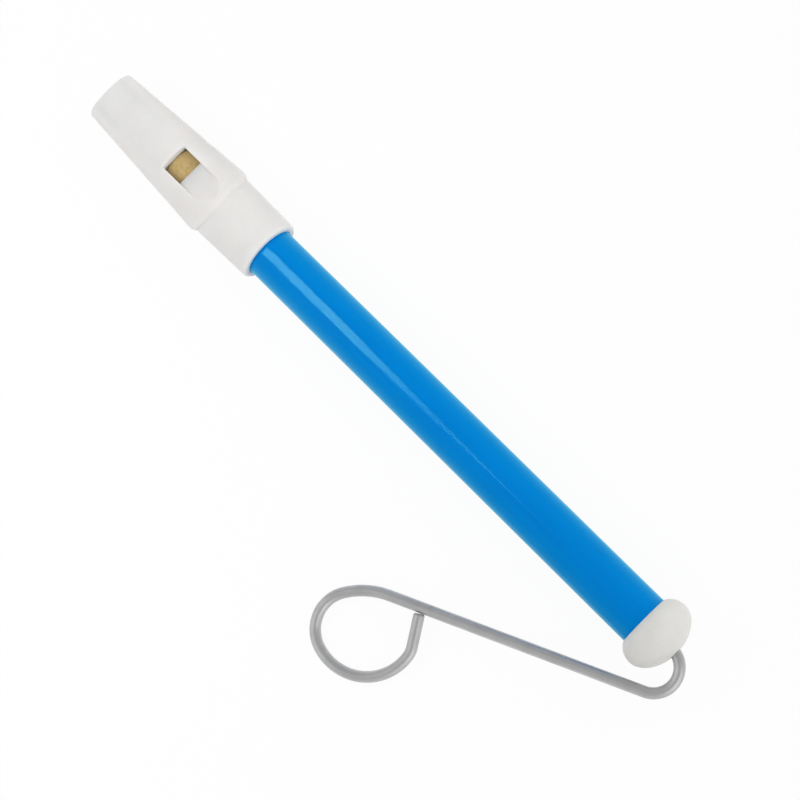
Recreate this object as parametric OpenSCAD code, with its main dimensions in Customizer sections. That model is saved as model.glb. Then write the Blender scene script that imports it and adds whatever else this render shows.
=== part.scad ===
// Slide whistle: a moulded whistle head on a tube, and a piston drawn by a bent wire with a finger ring.
// X runs from the beak's tip along the tube's axis to the cap, Z points up through the sound window,
// and the finger ring lies on the -Y side. The origin is on the tube's axis, at the beak's tip.

/* [Tube] */
// Outer diameter of the tube
tube_od = 15; // [14:0.1:16]
// Wall of the tube
tube_wall = 0.8; // [0.6:0.05:1.1]
// Length of tube that shows between the head and the cap
tube_visible = 144.3; // [110:0.1:190]
// Length of tube seated in the head's socket
socket_depth = 16.85; // [10:0.05:20]
// Length of tube seated in the end cap
cap_depth = 5.75; // [4:0.05:6.5]

/* [Beak] */
// Distance from the tip to the window
beak_length = 28.7; // [24:0.1:36]
// Width of the beak's tip
tip_width = 15.8; // [13:0.1:18]
// Height of the beak's tip
tip_height = 9; // [8.2:0.1:10]
// Height of the tip's upper surface over the axis
tip_top = 6.9; // [6.6:0.05:7.4]
// Rounding of the tip's edge
tip_round = 0.9; // [0.4:0.05:1.2]
// Length of the hollow scoop under the beak
scoop_length = 24; // [16:0.5:26]
// Depth of the hollow scoop under the beak
scoop_depth = 0.8; // [0.3:0.05:1.2]

/* [Head] */
// Distance from the labium's edge to the shoulder
shoulder_run = 9.8; // [8.5:0.1:14]
// Width across the shoulder
shoulder_width = 21.7; // [20:0.1:24]
// Height across the shoulder
shoulder_height = 21.02; // [19:0.01:23]
// Lean of the shoulder's end, its top towards the cap
shoulder_lean = 19; // [0:0.5:22]
// Rounding of the shoulder's end
shoulder_round = 0.8; // [0.3:0.05:1]
// Diameter of the socket collar at the shoulder
collar_od = 20.1; // [19:0.1:21]
// Diameter of the socket collar at its lip
collar_lip_od = 19.2; // [18.6:0.1:21]
// Rounding of the collar's lip
lip_round = 1.1; // [0.3:0.05:1.3]

/* [Windway] */
// Width of the window and of the windway's end
window_width = 8.2; // [6:0.1:9]
// Length of the window, from the windway to the labium
window_length = 6.65; // [5:0.05:8]
// Width of the windway's mouth
mouth_width = 10.4; // [9:0.1:11]
// Height of the windway's mouth
mouth_height = 1.5; // [1.2:0.05:1.8]
// Height of the windway at the window
windway_height = 1.25; // [1:0.05:1.45]
// Roof over the windway's mouth
roof = 1.3; // [1:0.05:1.6]
// Thickness of the labium's edge
labium_edge = 0.3; // [0.2:0.05:0.5]
// Slope of the labium's ramp
ramp_slope = 16.5; // [14:0.5:20]

/* [Piston] */
// Length of the felt seal
seal_length = 12; // [8:0.1:18]
// Diameter of the two washers
washer_od = 8.2; // [7:0.1:9]
// Thickness of the washers
washer_t = 0.8; // [0.5:0.05:1.2]
// Diameter of the wire's peened head
rod_head_d = 5; // [4.2:0.1:6]
// Thickness of the wire's peened head
rod_head_t = 1; // [0.6:0.05:1.4]
// Diameter of the crimped collar
stop_od = 6.5; // [5.5:0.1:9]
// Length of the crimped collar
stop_length = 4; // [2.5:0.1:8]

/* [End cap] */
// Diameter of the cap at its widest
cap_od = 21.02; // [20:0.01:24]
// Height of the dome over the widest circle
dome_height = 7.25; // [6.8:0.05:9]
// Radius of the cap's rounded edge
cap_edge = 5.5; // [4.8:0.1:6.5]
// Length of the spigot inside the tube
spigot_length = 7; // [4:0.1:12]

/* [Wire] */
// Diameter of the wire
wire_d = 3.2; // [2.6:0.1:3.4]
// Radius of the end bend, to the wire's centre
bend_radius = 7; // [6.8:0.1:9]
// Angle between the return run and the shaft
run_angle = 24.8; // [22:0.1:28]
// Length of the straight return run
run_length = 73; // [66:0.5:90]
// Radius of the ring's first arc, where it leaves the run
ring_r1 = 23; // [18:0.5:30]
// Turn of the first arc
ring_a1 = 33.6; // [30:0.2:36]
// Radius of the ring's second arc, round its far side
ring_r2 = 10.35; // [10:0.05:11]
// Turn of the second arc
ring_a2 = 105.2; // [100:0.2:110]
// Radius of the ring's third arc, back towards the run
ring_r3 = 14.9; // [14.5:0.05:15.5]
// Turn of the third arc
ring_a3 = 113.5; // [110:0.2:116]
// Radius of the ring's last bend
ring_r4 = 6; // [5:0.1:8]
// Turn of the last bend
ring_a4 = 24.4; // [20:0.2:28]
// Gap between the ring's end and the run
ring_gap = 0.4; // [0.3:0.05:1]

/* [Hidden] */

// Gap round a piece that is seated in another
seat_gap = 0.05;
// Gap round the wire where it turns or slides
guide_gap = 0.06;
// Gap round the felt seal in the tube
seal_gap = 0.08;
// Gap between faces that may meet
face_gap = 0.15;
// How far a cut runs past the face it opens
overrun = 2;
// Thickness of the slices that the beak is blended over
slice_t = 0.01;

// Diameter of the block at the beak's tip
plug_tip_d = 10;
// Wall under the bore where the beak ends
belly_wall = 2.1;
// Plain stretch between the beak's tip and the scoop
scoop_start = 1.5;
// How far the widest circle of the shoulder lies before its end
shoulder_ease = 1.6;
// Distance from the shoulder to the tube's seat
seat_run = 3.85;
// Lead-in chamfer at the socket's mouth
socket_lead = 0.3;
// How far the windway's roof lies over the bore
roof_lift = 0.07;
// How far the labium is relieved from below
labium_relief = 1.5;
// Room round the wire's head and the front washer in the block
recess_room = 0.5;
// Edge left on the cap's rim
cap_rim_wall = 0.3;
// How far inside the cap the end bend starts
bend_inset = 2.03;
// Chamfer on the felt seal's ends
seal_chamfer = 0.3;
// Depth and width of the crimp round the collar
crimp_depth = 0.4;
crimp_width = 1.2;
// Ring over the joint of two stretches of wire, its rise and its length
joint_rise = 0.02;
joint_length = 0.4;
// Exponents of the beak's oval sections, at the tip and at the shoulder
tip_oval = 2.4;
shoulder_oval = 2;
// Points round each of the beak's sections
section_points = 40;
// Points round the cap's edge, and up its dome
edge_points = 7;
dome_points = 16;

$fn = 96;

tube_r = tube_od / 2;
bore_r = tube_r - tube_wall;
wire_r = wire_d / 2;
cap_r = cap_od / 2;

// Places along the tube's axis
labium_x = beak_length + window_length;
shoulder_x = labium_x + shoulder_run;
seat_x = shoulder_x + seat_run;
collar_end_x = seat_x + socket_depth;
cap_rim_x = collar_end_x + tube_visible;
tube_end_x = cap_rim_x + cap_depth;

// Heights of the windway
windway_roof_z = bore_r + roof_lift;
windway_floor_z = windway_roof_z - windway_height;
mouth_roof_z = tip_top - roof;
mouth_floor_z = mouth_roof_z - mouth_height;

// The shoulder's end leans, so its top lies further along
shoulder_top_x = shoulder_x + shoulder_height / 2 * tan(shoulder_lean);
shoulder_foot_x = 2 * shoulder_x - shoulder_top_x;
tip_bottom = tip_top - tip_height;
belly_z = -bore_r - belly_wall;

// The cap's rounded edge, from its rim to its widest circle
cap_edge_r = cap_r - cap_edge;
cap_rim_r = tube_r + cap_rim_wall;
cap_wide_x = cap_rim_x + sqrt(pow(cap_edge, 2) - pow(cap_rim_r - cap_edge_r, 2));
apex_x = cap_wide_x + dome_height;
cap_floor_x = tube_end_x + seat_gap;
spigot_x = cap_floor_x - spigot_length;
guide_r = wire_r + guide_gap;

// The piston, pushed home under the window
seal_x = beak_length + 2 * face_gap;
front_washer_x = seal_x - washer_t;
rod_head_x = front_washer_x - face_gap - rod_head_t;
rear_washer_x = seal_x + seal_length;
stop_x = rear_washer_x + washer_t + face_gap;
recess_x = rod_head_x - recess_room;

// The wire's end bend, and its drop where it leaves the cap
bend_x = apex_x - bend_inset;
bend_turn = 180 - run_angle;
bend_drop = bend_radius - sqrt(pow(bend_radius, 2) - pow(bend_inset, 2));
mouth_r = guide_r + 2 * bend_drop + 2 * face_gap;
flare_length = bend_inset + face_gap;
flare_slope = (mouth_r - guide_r) / flare_length;

// The ring's headings, counted from the return run
ring_t1 = ring_a1;
ring_t2 = ring_t1 + ring_a2;
ring_t3 = ring_t2 + ring_a3;
ring_t4 = ring_t3 + ring_a4;

// How far an arc between two headings moves along the run, and square to it
function arc_along(r, from, to) = r * (sin(to) - sin(from));
function arc_across(r, from, to) = r * (cos(from) - cos(to));

// The straight end of the ring reaches back to the run
ring_across = arc_across(ring_r1, 0, ring_t1) + arc_across(ring_r2, ring_t1, ring_t2)
    + arc_across(ring_r3, ring_t2, ring_t3) + arc_across(ring_r4, ring_t3, ring_t4);
ring_tail = (ring_across - wire_d - ring_gap) / -sin(ring_t4);

// The ring's farthest point from the axis, which rests level with the cap
far_along = run_length + arc_along(ring_r1, 0, ring_t1) + arc_along(ring_r2, ring_t1, ring_t2)
    + arc_along(ring_r3, ring_t2, bend_turn);
far_across = arc_across(ring_r1, 0, ring_t1) + arc_across(ring_r2, ring_t1, ring_t2)
    + arc_across(ring_r3, ring_t2, bend_turn);
ring_reach = bend_radius * (1 + cos(run_angle)) + far_along * sin(run_angle) + far_across * cos(run_angle);
ring_tilt = asin((cap_r - wire_r) / ring_reach);

// Turns a shape that was made along Z to lie along X
module along_x(x) {
    translate([x, 0, 0]) rotate([0, 90, 0]) children();
}

module rod_shape(x, length, r) {
    along_x(x) cylinder(h = length, r = r);
}

// Extrudes a side view, drawn in X and Z, to both sides of the axis
module side_prism(width) {
    translate([0, width / 2, 0]) rotate([90, 0, 0]) linear_extrude(height = width) children();
}

// One oval section of the beak, drawn as a superellipse
module oval(half_width, half_height, exponent) {
    polygon([
        for (i = [1 : section_points])
            let (a = 360 * i / section_points, c = cos(a), s = sin(a), e = 2 / exponent)
            [half_width * sign(c) * pow(abs(c), e), half_height * sign(s) * pow(abs(s), e)]
    ]);
}

module beak_slice(x, z, half_width, half_height, exponent, lean = 0) {
    translate([x, 0, z]) rotate([0, lean, 0]) rotate([90, 0, 90])
        linear_extrude(height = slice_t) oval(half_width, half_height, exponent);
}

function lerp(a, b, share) = a + (b - a) * share;
function beak_half_width(x) =
    lerp(tip_width, shoulder_width, x / (shoulder_x - shoulder_ease)) / 2;
function beak_top(x) = lerp(tip_top, shoulder_height / 2, x / shoulder_top_x);

// The tip's slices, its edge rounded by a quarter circle, given as a share of that quarter
module tip_slice(share) {
    inset = tip_round * (1 - sin(90 * share));
    x = tip_round * (1 - cos(90 * share));
    beak_slice(x, (tip_top + tip_bottom) / 2, beak_half_width(x) - inset, tip_height / 2 - inset, tip_oval);
}

// A slice of the leaning end of the shoulder
module shoulder_slice(x, inset) {
    beak_slice(x, 0, shoulder_width / 2 - inset, (shoulder_height / 2 - inset) / cos(shoulder_lean),
        shoulder_oval, shoulder_lean);
}

// The hollow under the beak: a wide cylinder across it, along the line of the beak's underside
module scoop() {
    fall = atan2(tip_bottom - belly_z, beak_length);
    scoop_r = pow(scoop_length, 2) / (8 * scoop_depth) + scoop_depth / 2;
    translate([0, 0, tip_bottom]) rotate([0, fall, 0])
        translate([scoop_start + scoop_length / 2, 0, scoop_depth - scoop_r])
        rotate([90, 0, 0]) cylinder(h = shoulder_width, r = scoop_r, center = true, $fn = 200);
}

// The outer form of the beak, from the tip to the shoulder
module beak_form() {
    belly_top = beak_top(beak_length);
    difference() {
        hull() {
            for (share = [0, 0.33, 0.67, 1])
                tip_slice(share);
            beak_slice(beak_length, (belly_top + belly_z) / 2, beak_half_width(beak_length),
                (belly_top - belly_z) / 2, shoulder_oval);
            shoulder_slice(shoulder_x - shoulder_ease, 0);
            shoulder_slice(shoulder_x, 0.3 * shoulder_round);
            shoulder_slice(shoulder_x + shoulder_round, shoulder_round);
        }
        scoop();
    }
}

// The socket collar, with its taper and its rounded lip
module collar_form() {
    collar_r = collar_od / 2;
    lip_r = collar_lip_od / 2;
    start_x = shoulder_foot_x;
    along_x(0) rotate_extrude() {
        polygon([
            [0, start_x], [collar_r, start_x],
            [lip_r, collar_end_x - lip_round], [0, collar_end_x - lip_round]
        ]);
        translate([0, collar_end_x - 2 * lip_round]) square([lip_r - lip_round, 2 * lip_round]);
        translate([lip_r - lip_round, collar_end_x - lip_round]) circle(r = lip_round);
    }
}

// The space of the windway, a flat duct that narrows from the mouth to the window
module windway_space() {
    intersection() {
        side_prism(shoulder_width) polygon([
            [-overrun, lerp(mouth_floor_z, windway_floor_z, -overrun / beak_length)],
            [beak_length, windway_floor_z],
            [beak_length, windway_floor_z - overrun],
            [labium_x + labium_relief, windway_floor_z - overrun],
            [labium_x + labium_relief, windway_roof_z],
            [beak_length, windway_roof_z],
            [-overrun, lerp(mouth_roof_z, windway_roof_z, -overrun / beak_length)]
        ]);
        linear_extrude(height = shoulder_height) polygon([
            [-overrun, -lerp(mouth_width, window_width, -overrun / beak_length) / 2],
            [beak_length, -window_width / 2],
            [labium_x + 2 * labium_relief, -window_width / 2],
            [labium_x + 2 * labium_relief, window_width / 2],
            [beak_length, window_width / 2],
            [-overrun, lerp(mouth_width, window_width, -overrun / beak_length) / 2]
        ]);
    }
}

// The window over the bore, and the ramp that rises from the labium's edge
module window_space() {
    edge_z = windway_roof_z + labium_edge;
    rise_x = (shoulder_height - edge_z) / tan(ramp_slope);
    side_prism(window_width) polygon([
        [beak_length, windway_floor_z - overrun],
        [labium_x, windway_floor_z - overrun],
        [labium_x, edge_z],
        [labium_x + rise_x, shoulder_height],
        [beak_length, shoulder_height]
    ]);
}

// The tapered seat of the block, or the block's own taper with a gap round it
module plug_taper(gap, from_x, to_x) {
    tip_r = plug_tip_d / 2;
    along_x(from_x) cylinder(
        h = to_x - from_x,
        r1 = lerp(tip_r, bore_r, from_x / beak_length) - gap,
        r2 = lerp(tip_r, bore_r, to_x / beak_length) - gap
    );
}

module mouthpiece() {
    color("whitesmoke") difference() {
        union() {
            beak_form();
            collar_form();
        }
        plug_taper(0, -overrun, beak_length);
        rod_shape(beak_length, seat_x - beak_length, bore_r);
        rod_shape(seat_x, collar_end_x + overrun - seat_x, tube_r + seat_gap);
        along_x(collar_end_x - 2 * socket_lead)
            cylinder(h = 2 * socket_lead, r1 = tube_r + seat_gap, r2 = tube_r + seat_gap + socket_lead);
        windway_space();
        window_space();
    }
}

// The block: a tapered plug, flat on top under the windway, cut off flush with the beak's underside
module windway_block() {
    color("gainsboro") difference() {
        intersection() {
            beak_form();
            plug_taper(seat_gap, 0, beak_length);
        }
        windway_space();
        rod_shape(recess_x, beak_length + overrun - recess_x, washer_od / 2 + recess_room);
    }
}

module tube() {
    color("dodgerblue") difference() {
        rod_shape(seat_x + seat_gap, tube_end_x - seat_x - seat_gap, tube_r);
        rod_shape(seat_x - overrun, tube_end_x - seat_x + 2 * overrun, bore_r);
    }
}

// Half the cap's outline: a rounded edge from the rim to the widest circle, then an elliptical dome
module cap_outline() {
    rim_turn = acos((cap_rim_r - cap_edge_r) / cap_edge);
    polygon(concat(
        [[0, cap_rim_x]],
        [for (i = [-edge_points : 0]) let (a = rim_turn * i / edge_points)
            [cap_edge_r + cap_edge * cos(a), cap_wide_x + cap_edge * sin(a)]],
        [for (i = [1 : dome_points - 1]) let (a = 90 * i / dome_points)
            [cap_r * cos(a), cap_wide_x + dome_height * sin(a)]],
        [[0, apex_x]]
    ));
}

module end_cap() {
    color("whitesmoke") difference() {
        union() {
            difference() {
                along_x(0) rotate_extrude() cap_outline();
                rod_shape(cap_rim_x - overrun, cap_floor_x - cap_rim_x + overrun, tube_r + seat_gap);
            }
            rod_shape(spigot_x, spigot_length + seat_gap, bore_r - seat_gap);
        }
        rod_shape(spigot_x - overrun, bend_x - spigot_x + 2 * overrun, guide_r);
        along_x(bend_x - face_gap)
            cylinder(h = flare_length + overrun, r1 = guide_r, r2 = mouth_r + overrun * flare_slope);
    }
}

// A ring a hair wider than the wire, over the joint of two of its stretches
module wire_joint() {
    rod_shape(-joint_length / 2, joint_length, wire_r + joint_rise);
}

// A straight stretch of wire along X, and what follows it
module wire_run(length) {
    wire_joint();
    rod_shape(0, length, wire_r);
    translate([length, 0, 0]) children();
}

// A bend that turns left by an angle, and what follows it
module wire_left(r, turn) {
    wire_joint();
    translate([0, r, 0]) rotate([0, 0, -90]) rotate_extrude(angle = turn)
        translate([r, 0]) circle(r = wire_r);
    translate([r * sin(turn), r * (1 - cos(turn)), 0]) rotate([0, 0, turn]) children();
}

// A bend that turns right by an angle, and what follows it
module wire_right(r, turn) {
    wire_joint();
    translate([0, -r, 0]) rotate([0, 0, 90 - turn]) rotate_extrude(angle = turn)
        translate([r, 0]) circle(r = wire_r);
    translate([r * sin(turn), -r * (1 - cos(turn)), 0]) rotate([0, 0, -turn]) children();
}

module wire_end() {
    along_x(0) rotate_extrude() intersection() {
        circle(r = wire_r);
        square(wire_r);
    }
}

// The slide's wire: peened head, shaft, end bend, return run and finger ring, in one plane
module slide_rod() {
    color("silver") rotate([ring_tilt, 0, 0]) {
        rod_shape(rod_head_x, rod_head_t, rod_head_d / 2);
        rod_shape(rod_head_x, bend_x - rod_head_x, wire_r);
        translate([bend_x, 0, 0])
            wire_right(bend_radius, bend_turn)
            wire_run(run_length)
            wire_left(ring_r1, ring_a1)
            wire_left(ring_r2, ring_a2)
            wire_left(ring_r3, ring_a3)
            wire_left(ring_r4, ring_a4)
            wire_run(ring_tail)
            wire_end();
    }
}

module piston_seal() {
    seal_r = bore_r - seal_gap;
    color("burlywood") difference() {
        along_x(seal_x) rotate_extrude() polygon([
            [0, 0], [seal_r - seal_chamfer, 0], [seal_r, seal_chamfer],
            [seal_r, seal_length - seal_chamfer], [seal_r - seal_chamfer, seal_length], [0, seal_length]
        ]);
        rod_shape(seal_x - overrun, seal_length + 2 * overrun, guide_r);
    }
}

module washer(x) {
    difference() {
        rod_shape(x, washer_t, washer_od / 2);
        rod_shape(x - overrun, washer_t + 2 * overrun, guide_r);
    }
}

module front_washer() {
    color("silver") washer(front_washer_x);
}

module rear_washer() {
    color("silver") washer(rear_washer_x);
}

// The collar that is crimped on the wire behind the piston
module stop_collar() {
    stop_r = stop_od / 2;
    crimp_x = (stop_length - crimp_width) / 2;
    color("silver") difference() {
        along_x(stop_x) rotate_extrude() polygon([
            [0, 0], [stop_r, 0], [stop_r, crimp_x],
            [stop_r - crimp_depth, crimp_x + crimp_depth],
            [stop_r - crimp_depth, stop_length - crimp_x - crimp_depth],
            [stop_r, stop_length - crimp_x], [stop_r, stop_length], [0, stop_length]
        ]);
        rod_shape(stop_x - overrun, stop_length + 2 * overrun, wire_r + seat_gap);
    }
}

mouthpiece();
windway_block();
tube();
end_cap();
slide_rod();
piston_seal();
front_washer();
rear_washer();
stop_collar();
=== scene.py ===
"""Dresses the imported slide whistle: moulded head, block, blue tube, domed cap, felt piston and bent wire."""
import math
from contextlib import contextmanager

import bmesh
import bpy
import numpy as np
from mathutils import Matrix, Vector


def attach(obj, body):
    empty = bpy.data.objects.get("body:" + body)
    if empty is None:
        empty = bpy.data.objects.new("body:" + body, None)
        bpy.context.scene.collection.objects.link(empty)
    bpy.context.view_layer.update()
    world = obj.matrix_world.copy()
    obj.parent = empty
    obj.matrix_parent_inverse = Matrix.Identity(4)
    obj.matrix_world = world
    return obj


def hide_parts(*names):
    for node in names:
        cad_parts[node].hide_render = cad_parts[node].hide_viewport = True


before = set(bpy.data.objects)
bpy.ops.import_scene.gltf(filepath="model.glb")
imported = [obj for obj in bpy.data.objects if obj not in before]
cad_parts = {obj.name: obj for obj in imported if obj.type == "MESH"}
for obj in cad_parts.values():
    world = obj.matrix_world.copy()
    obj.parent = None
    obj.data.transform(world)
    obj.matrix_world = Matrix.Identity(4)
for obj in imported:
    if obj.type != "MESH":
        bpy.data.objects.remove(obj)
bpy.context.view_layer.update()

# Sizes are in millimetres, and every mesh is scaled to metres when it is made
MM = 0.001
WELD = 0.0005
CUT_OVERRUN = 2.0

# The tube and its seats
TUBE_R = 7.5
BORE_R = 6.7
SEAT_X = 49.0
SEAT_R = 7.55
TUBE_START_X = 49.05
TUBE_END_X = 215.9
TUBE_EDGE = 0.15

# The beak's outer form
TIP_TOP = 6.9
TIP_BOTTOM = -2.1
TIP_WIDTH = 15.8
TIP_ROUND = 0.9
BEAK_LENGTH = 28.7
BELLY_Z = -8.8
SCOOP_START = 1.5
SCOOP_LENGTH = 24.0
SCOOP_DEPTH = 0.8
SCOOP_LIMIT_Z = 0.5

# Exponents of the head's sections: the tip is squarer than an ellipse
TIP_OVAL = 2.4
ELLIPSE = 2.0

# The shoulder, whose end leans with its top towards the cap
SHOULDER_X = 45.15
SHOULDER_WIDTH = 21.7
SHOULDER_HEIGHT = 21.02
SHOULDER_LEAN = math.radians(19)
SHOULDER_EASE = 1.6
SHOULDER_RISE = SHOULDER_HEIGHT / 2 * math.tan(SHOULDER_LEAN)
BEAK_FULL_X = SHOULDER_X - SHOULDER_EASE

# The shoulder's edge and its step down: where each ring crosses the axis, and its inset
SHOULDER_EDGE = (
    (44.0, 0.02), (44.4, 0.06), (44.8, 0.14), (45.15, 0.24), (45.45, 0.38), (45.7, 0.53), (45.85, 0.66))
SHOULDER_STEP = ((45.93, 0.75), (45.97, 0.85), (45.99, 0.95))

# The socket collar
COLLAR_START_X = 41.53
COLLAR_R = 10.05
COLLAR_LIP_R = 9.6
COLLAR_END_X = 65.85
COLLAR_INSET = 1.3
LIP_ROUND = 1.1

# The collar straightens up: where each ring crosses the axis, and its share of the lean
COLLAR_LEANS = (
    (46.03, 1), (46.15, 1), (46.5, 1), (47.2, 0.95), (48.5, 0.85), (50.5, 0.65), (53.0, 0.4), (56.0, 0.15))
COLLAR_XS = (58.5, 61.0, 63.0, COLLAR_END_X - LIP_ROUND)

# The windway, the window and the labium's ramp
WINDOW_HALF = 4.1
LABIUM_X = 35.35
LABIUM_TOP = 7.07
RAMP_SLOPE = math.tan(math.radians(16.5))
WINDWAY_ROOF = 6.77
WINDWAY_FLOOR = 5.52
WINDWAY_END = 0.6
MOUTH_HALF = 5.2
MOUTH_ROOF = 5.6
MOUTH_FLOOR = 4.1
RELIEF = 1.5
RELIEF_FLOOR = 4.0
EDGE_ROUND = 0.2
WINDOW_DRAFT = 0.45

# The head's rings: points round their sides, half the width of their top, and the angles they follow
SIDE_POINTS = 150
TOP_HALF = WINDOW_HALF + 0.9
CROWN_SHARE = 0.3
QUARTER = 360
DENSE = np.linspace(-math.pi, math.pi, 4 * QUARTER + 1)

# The cuts in the head: a hair between rings, the lowest wall, and how the ramp runs out
HAIR = 0.02
LOW_WALL = 0.12
FADE = 0.12
NARROW = 0.5
FEATHER = 0.004
SPREAD_RATE = 6.0
DRAFT_STEPS = 9

# The block
PLUG_TIP_R = 5.0
SEAT_GAP = 0.05
RECESS_X = 26.55
RECESS_R = 4.6

# The end cap
CAP_R = 10.51
CAP_RIM_X = 210.15
CAP_RIM_R = 7.8
CAP_EDGE = 5.5
CAP_WIDE_X = 214.89
DOME_HEIGHT = 7.25
CAP_FLOOR_X = 215.95
SPIGOT_X = 208.95
GUIDE_R = 1.66
MOUTH_R = 2.56

# The wire, drawn a hair thinner than its radius
WIRE_R = 1.6
WIRE_THINNER = 0.004
ROD_HEAD_X = 27.05
ROD_HEAD_T = 1.0
ROD_HEAD_R = 2.5
ROD_HEAD_MIDDLE = 0.5
DENT = 0.06
BEND_X = 220.11
BEND_R = 7.0
RUN_ANGLE = 24.8
RUN_LENGTH = 73.0
RING_ARCS = ((23.0, 33.6), (10.35, 105.2), (14.9, 113.5), (6.0, 24.4))
RING_GAP = 0.2
END_ROUND = 0.5
RUN_STEP = 2.5
BEND_STEP = 2.4

# The piston
SEAL_X = 29.0
SEAL_LENGTH = 12.0
SEAL_R = 6.62
SEAL_EASE = 0.25
SEAL_FACE_R = 4.2
NAP = 0.015
NAP_SWELL = 0.16
WASHER_R = 4.1
WASHER_T = 0.8
WASHER_EDGE = 0.12
FRONT_WASHER_X = 28.2
REAR_WASHER_X = 41.0
STOP_X = 41.95
STOP_R = 3.25
STOP_LENGTH = 4.0
CRIMP = 0.18

# The felt's rim, swollen where no washer holds it: distance behind the felt's face, and radius
SEAL_RIM = (
    (-0.08, 4.5), (-0.16, 4.8), (-0.2, 5.2), (-0.2, 5.8),
    (-0.17, 6.1), (-0.09, 6.35), (0.02, 6.52), (0.12, 6.6))

# The studio
FLOOR_Z = -10.54
FLOOR_HALF = 2500
FLOOR_GLOW = 0.94
SKY_LEAN = (0.34, 0.41, 0.0)
SKY_LEVEL = 0.775
PANELS = (((0.812, -0.085, 0.577), 0.78, 0.9), ((-0.47, -0.6, 0.648), 0.76, 0.5))
KEY_SPOT = (0, -150, 250)
KEY_TARGET = (60, 0, 0)
KEY_SIDE = 200
KEY_RADIANCE = 2.45

# The card that the tube mirrors: its outline, its place, and its glow along the tube
CARD_OUTLINE = ((-300, -160), (-90, -160), (135, -15), (180, 0), (135, 15), (-90, 160), (-300, 160))
CARD_Y = -86
CARD_Z = 500
CARD_FADE_START = -87
CARD_FADE_END = 130
CARD_FADE = (
    (0.0, 1.0), (0.12, 1.0), (0.25, 0.8), (0.38, 0.62), (0.5, 0.44), (0.63, 0.4), (0.75, 0.36), (1.0, 0.3))
CARD_RADIANCE = 22.0

# The camera
EYE = (229.52, -3.82, 509.63)
AIM = (121.75, -3.82, 0.0)
ROLL = math.radians(44.66)
LENS = 85.92
SENSOR = 36.0


def lerp(a, b, share):
    """The number that lies a share of the way from a to b."""
    return a + (b - a) * share


def spread(a, b, count):
    """Evenly spaced numbers from a to b, ends included."""
    return list(np.linspace(a, b, count))


def aim(angle):
    """A step of length one in the direction of an angle."""
    return np.array([math.cos(angle), math.sin(angle)])


def radians(*degrees):
    """Angles given in degrees, in radians."""
    return [math.radians(turn) for turn in degrees]


def srgb(red, green, blue):
    """A colour given in 0 to 255, as the shader's linear colour."""
    shares = [c / 255 for c in (red, green, blue)]
    linear = [c / 12.92 if c <= 0.04045 else ((c + 0.055) / 1.055) ** 2.4 for c in shares]
    return (*linear, 1.0)


# Meshes

def linked(name, data):
    """A new object in the scene that carries the data."""
    made = bpy.data.objects.new(name, data)
    bpy.context.scene.collection.objects.link(made)
    return made


@contextmanager
def opened(mesh):
    """Opens a mesh for editing and writes the result back."""
    work = bmesh.new()
    work.from_mesh(mesh)
    yield work
    work.to_mesh(mesh)
    work.free()


def close_up(mesh):
    """Joins points that coincide and turns every face outwards."""
    with opened(mesh) as work:
        bmesh.ops.remove_doubles(work, verts=work.verts, dist=WELD * MM)
        bmesh.ops.recalc_face_normals(work, faces=work.faces)


def mesh_object(name, points, faces):
    """A new object at the origin, from points in millimetres."""
    mesh = bpy.data.meshes.new(name)
    mesh.from_pydata((np.asarray(points, float) * MM).tolist(), [], faces)
    mesh.validate()
    close_up(mesh)
    return linked(name, mesh)


def band(start, following, count):
    """The faces between two rings of points, each given by its first point."""
    faces = []
    for i in range(count):
        j = (i + 1) % count
        faces.append([start + i, start + j, following + j, following + i])
    return faces


def lofted(name, rings):
    """A closed skin over rings of the same number of points, with flat ends."""
    count = len(rings[0])
    last = len(rings) - 1
    faces = [list(range(count))[::-1], [last * count + i for i in range(count)]]
    for k in range(last):
        faces += band(k * count, (k + 1) * count, count)
    return mesh_object(name, np.concatenate(rings), faces)


def turned(name, profile, sides, closed=True):
    """A shape turned round the X axis from (x, radius) points. Closed, it leaves a hole along the axis."""
    angles = np.arange(sides) * 2 * math.pi / sides
    points = [(x, r * math.cos(a), r * math.sin(a)) for x, r in profile for a in angles]
    count = len(profile)
    faces = []
    for k in range(count if closed else count - 1):
        faces += band(k * sides, (k + 1) % count * sides, sides)
    if not closed:
        faces += [list(range(sides)), [(count - 1) * sides + i for i in range(sides)]]
    return mesh_object(name, points, faces)


def hexahedron(name, sections):
    """A six-sided block between two upright rectangles, each given as x, half width, low z and high z."""
    points = []
    for x, half, low, high in sections:
        points += [(x, -half, low), (x, half, low), (x, half, high), (x, -half, high)]
    faces = [[3, 2, 1, 0], [4, 5, 6, 7], [0, 1, 5, 4], [1, 2, 6, 5], [2, 3, 7, 6], [3, 0, 4, 7]]
    return mesh_object(name, points, faces)


def plain_copy(piece):
    """Bakes a piece's modifiers into a plain mesh."""
    shape = bpy.data.meshes.new_from_object(piece.evaluated_get(bpy.context.evaluated_depsgraph_get()))
    piece.modifiers.clear()
    old = piece.data
    piece.data = shape
    bpy.data.meshes.remove(old)
    shape.name = piece.name
    return piece


def combine(piece, other, operation):
    """Cuts or intersects a piece with another, which is then removed."""
    step = piece.modifiers.new("combine", "BOOLEAN")
    step.operation = operation
    step.solver = "EXACT"
    step.object = other
    plain_copy(piece)
    bpy.data.objects.remove(other)


def smooth(piece, angle=32):
    """Smooth shading that keeps the edges sharper than an angle crisp."""
    with opened(piece.data) as work:
        bmesh.ops.dissolve_degenerate(work, edges=work.edges, dist=WELD * MM)
        for face in work.faces:
            face.smooth = True
        for edge in work.edges:
            edge.smooth = len(edge.link_faces) == 2 and edge.calc_face_angle(0) < math.radians(angle)


def dress(piece, material, body, node):
    """Gives a piece its finish and its body, and lets it stand for its CAD node."""
    piece.data.materials.clear()
    piece.data.materials.append(material)
    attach(piece, body)
    if node:
        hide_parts(node)
    return piece


# Shader and geometry trees

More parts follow.
